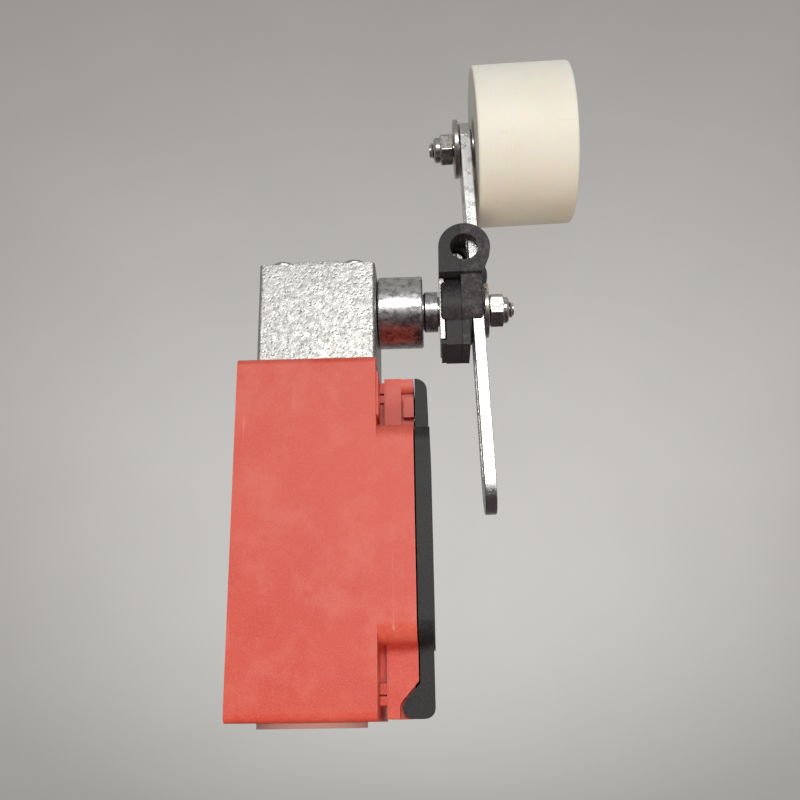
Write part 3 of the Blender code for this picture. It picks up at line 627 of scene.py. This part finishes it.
def make_turned_parts():
    axis = (0, 0, SHAFT_Z)
    barrel = [
        (4.75, 38.6), (4.75, 22.9), (5.6, 22.9), (5.6, 30.5), (8.8, 30.5), (8.8, 41.2), (6.3, 41.2),
        (6.3, 38.6), (5.4, 38.6),
    ]
    stand_in("bearing_barrel", spun(eased(barrel, 0.45, 4), "X", axis, 128))
    shaft = [
        (0, 5.4), (3.1, 5.4), (3.1, 10.9), (4.0, 10.9), (4.0, 21.4), (3.4, 21.4), (3.4, 22.2),
        (4.0, 22.2), (4.0, 22.6), (4.45, 22.6), (4.45, 41.5), (4.65, 41.5), (4.95, 41.8),
        (4.95, 44.9), (3.6, 44.9), (3.6, 50.2), (0, 50.2),
    ]
    stand_in("shaft", spun(eased(shaft, 0.15), "X", axis, 96))
    seal = [(4.75, 39.8), (4.75, 38.9), (6.0, 38.9), (6.0, 40.7), (4.75, 40.7), (4.75, 39.8)]
    stand_in("shaft_seal", spun(eased(seal, 0.3)[:-1], "X", axis, 96))
    pusher = [
        (0, 73.6), (2.6, 73.6), (2.9, 73.9), (2.9, 87.0),
        (4.8, 87.0), (4.8, 88.6), (4.0, 89.2), (0, 89.2),
    ]
    stand_in("pusher", spun(eased(pusher, 0.2), "Z", (HEAD_X, 0, 0), 64))


def washer(inner, outer, low, high, z):
    """A ring about X with rounded rims; its section starts and ends halfway up the bore."""
    middle = (low + high) / 2
    section = [
        (inner, middle), (inner, low), (outer, low), (outer, high), (inner, high), (inner, middle),
    ]
    return spun(eased(section, 0.22)[:-1], "X", (0, 0, z), 96)


def make_lever_clamp():
    stages = [
        (0, 50.5), (3.4, 50.5), (3.6, 50.7), (3.6, 52.3),
        (THREAD_R, 52.3), (THREAD_R, 56.0), (0, 63.4),
    ]
    axis = (0, 0, SHAFT_Z)
    stand_in("lever_bolt", bolt(stages, "X", axis, (6, 56.0, 63.38)))
    stand_in("lever_washer", washer(BORE_R, 6.7, 56.1, 57.2, SHAFT_Z))
    stand_in("lever_nut", locknut(axis, 57.5, 60.9, 62.2))


def make_lever_strip():
    outline = stadium(LEVER_HALF, LEVER_LOW, LEVER_HIGH, 40)
    strip = prism(outline, "X", LEVER_BACK, LEVER_FRONT)
    outline = stadium(LEVER_SLOT_HALF, LEVER_SLOT_LOW, LEVER_SLOT_HIGH, 24)
    slot = prism(outline, "X", LEVER_BACK - 1, LEVER_FRONT + 1)
    outline = arc((0, ROLLER_Z), BORE_R, 0, 350, 35)
    hole = prism(outline, "X", LEVER_BACK - 1, LEVER_FRONT + 1)
    strip = broken_edges(carved(strip, slot, hole), 0.22, 3, math.radians(40))
    stand_in("lever_strip", cant(strip))


def make_roller():
    """The roller, and the bolt, bush, washers and nut that carry it on the strip."""
    axis = (0, 0, ROLLER_Z)
    rim = eased([(3.5, 78.6), (3.8, 78.9), (3.8, 80.1), (2.6, 80.7)], 0.3)
    stages = [(0, 45.12), (THREAD_R, 49.5), (THREAD_R, 78.6), *rim, (0, 80.7)]
    stand_in("axle_bolt", cant(bolt(stages, "X", axis, (1, 45.14, 49.4))))
    bush = [(BORE_R, 60.0), (BORE_R, 57.2), (3.6, 57.2), (3.6, 78.3), (BORE_R, 78.3), (BORE_R, 60.0)]
    stand_in("axle_bush", cant(spun(eased(bush, 0.2)[:-1], "X", axis, 64)))
    stand_in("roller_washer", cant(washer(BORE_R, 5.0, 56.0, 56.9, ROLLER_Z)))
    stand_in("axle_washer", cant(washer(BORE_R, 7.5, 51.5, 52.7, ROLLER_Z)))
    stand_in("axle_nut", cant(locknut(axis, 51.2, 48.0, 46.3)))
    tyre = [
        (3.9, 70.0), (3.9, 58.2), (7.5, 58.2), (7.5, 56.6), (20.5, 56.6), (20.5, 81.0),
        (6.0, 81.0), (6.0, 77.9), (3.9, 77.9), (3.9, 70.0),
    ]
    stand_in("roller", cant(spun(eased(tyre, 0.7, 5)[:-1], "X", axis, 192)))


def make_springs():
    stand_in("pusher_spring", coil((HEAD_X, 0, 0), 3.95, 0.35, 80.3, 86.7, 4.5))
    stand_in("plunger_spring", coil((HEAD_X, 0, 0), 2.6, 0.3, 20.3, 29.7, 5))


# Nodes that keep the CAD shape with their edges broken, and the width of that edge.
EDGE_WIDTHS = {
    "housing": 0.22, "cover": 0.3, "hub": 0.25, "head": 0.3, "contact_block": 0.2,
    "cover_gasket": 0.12, "clamp_plate": 0.15, "cam": 0.12, "contact_plunger": 0.2,
    "upper_bridge": 0.1, "lower_bridge": 0.1, "retaining_ring": 0.08, "head_seal": 0.02,
    "hinge_pin_left": 0.1, "hinge_pin_right": 0.1,
}
for number in range(1, 5):
    EDGE_WIDTHS[f"fixed_contact_{number}"] = 0.1
    EDGE_WIDTHS[f"terminal_screw_{number}"] = 0.08

make_screws()
make_turned_parts()
make_lever_clamp()
make_lever_strip()
make_roller()
make_springs()
for node, width in EDGE_WIDTHS.items():
    stand_in(node, copied(node, width))


# ---------------------------------------------------------------- camera, stage and light


def make_camera():
    """A view of the side, from the level of the body's foot and looking up."""
    data = bpy.data.cameras.new("camera")
    data.sensor_width = 36.0
    data.lens = 43.56
    data.clip_start, data.clip_end = 0.005, 20.0
    camera = bpy.data.objects.new("camera", data)
    right = Vector((0.9990, 0.0417, -0.0142))
    up = Vector((0.0267, -0.3157, 0.9485))
    ahead = right.cross(up) * -1.0
    turn = Matrix((right, up, -ahead)).transposed()
    camera.matrix_world = Matrix.Translation((0.04336, -0.21927, -0.03883)) @ turn.to_4x4()
    bpy.context.scene.collection.objects.link(camera)
    bpy.context.scene.camera = camera


def make_stage():
    """A pale floor that rises all round into a far wall."""
    shape = bmesh.new()
    segments = 96
    radius, floor, bend, top = 1.5, -0.16, 0.5, 2.6
    curve = arc((radius - bend, floor + bend), bend, -80, 0, 16)
    profile = [(radius - bend, floor), *curve, (radius, top)]
    columns = []
    centre = shape.verts.new((0, 0, floor))
    for i in range(segments):
        angle = 2 * math.pi * i / segments
        columns.append([
            shape.verts.new((r * math.cos(angle), r * math.sin(angle), z)) for r, z in profile
        ])
    for i in range(segments):
        this, other = columns[i], columns[(i + 1) % segments]
        shape.faces.new((centre, this[0], other[0]))
        for k in range(len(this) - 1):
            shape.faces.new((this[k], this[k + 1], other[k + 1], other[k]))
    bowl = as_object(shape, "studio_floor")
    bowl.data.shade_smooth()
    glow = (0.10, 0.099, 0.097, 1.0)
    look = Look("studio_floor", Emission_Color=glow, Emission_Strength=1.0)
    cloud = look.span(look.noise(5, 3), 0.35, 0.65)
    colour = look.mix(cloud, (0.60, 0.595, 0.575), (0.62, 0.615, 0.595))
    bowl.data.materials.append(look.done(colour, 0.9))
    bowl.visible_glossy = False
    bowl.visible_diffuse = False
    bowl.visible_shadow = False


def aimed(name, kind, place, target, power):
    """A light at the place, turned to the target, that the camera doesn't see."""
    data = bpy.data.lights.new(name, kind)
    data.energy = power
    light = bpy.data.objects.new(name, data)
    light.location = place
    light.rotation_mode = "QUATERNION"
    light.rotation_quaternion = (Vector(target) - Vector(place)).to_track_quat("-Z", "Y")
    light.visible_camera = False
    bpy.context.scene.collection.objects.link(light)
    return light


def softbox(name, place, target, power, size, colour=(1, 1, 1), mirrored=False):
    """A rectangular light; a mirrored one shows in shiny surfaces."""
    light = aimed(name, "AREA", place, target, power)
    light.visible_glossy = mirrored
    light.data.color = colour
    light.data.shape = "RECTANGLE"
    light.data.size, light.data.size_y = size


def make_lights():
    softbox("key_softbox", (0.14, -0.74, 0.20), OBJECT_MIDDLE, 3.1, (0.6, 0.2), mirrored=True)
    softbox("top_softbox", (-0.1, 0.1, 0.9), (0.03, 0.0, 0.03), 1.5, (0.5, 0.5), (1.0, 0.99, 0.96))
    softbox("back_softbox", (0.15, 0.75, 0.3), OBJECT_MIDDLE, 1.5, (0.5, 0.4))
    warm = (1.0, 0.86, 0.70)
    softbox("floor_bounce", (0.1, -0.35, -0.4), (0.05, 0.0, 0.06), 1.9, (0.4, 0.3), warm)
    pool = aimed("wall_pool", "SPOT", (0.03, 0.30, 0.03), (0.02, 1.5, 0.64), 29.5)
    pool.data.spot_size = math.radians(100)
    pool.data.spot_blend = 1.0
    pool.data.shadow_soft_size = 0.1


def make_world():
    """Dim surroundings, darker and warmer below."""
    world = bpy.data.worlds.new("studio")
    world.use_nodes = True
    tree = world.node_tree
    way = tree.nodes.new("ShaderNodeTexCoord").outputs["Generated"]
    parts = tree.nodes.new("ShaderNodeSeparateXYZ")
    tree.links.new(way, parts.inputs[0])
    ramp = tree.nodes.new("ShaderNodeValToRGB")
    height = tree.nodes.new("ShaderNodeMapRange")
    height.inputs["From Min"].default_value = -1.0
    tree.links.new(parts.outputs["Z"], height.inputs["Value"])
    tree.links.new(height.outputs[0], ramp.inputs[0])
    stops = ramp.color_ramp.elements
    stops[0].position, stops[0].color = 0.15, (0.05, 0.04, 0.043, 1)
    stops[1].position, stops[1].color = 1.0, (0.30, 0.30, 0.29, 1)
    middle = stops.new(0.5)
    middle.color = (0.30, 0.28, 0.28, 1)
    tree.links.new(ramp.outputs[0], tree.nodes["Background"].inputs["Color"])
    tree.nodes["Background"].inputs["Strength"].default_value = 1.0
    bpy.context.scene.world = world


make_camera()
make_stage()
make_lights()
make_world()
bpy.context.scene.view_settings.view_transform = "Standard"
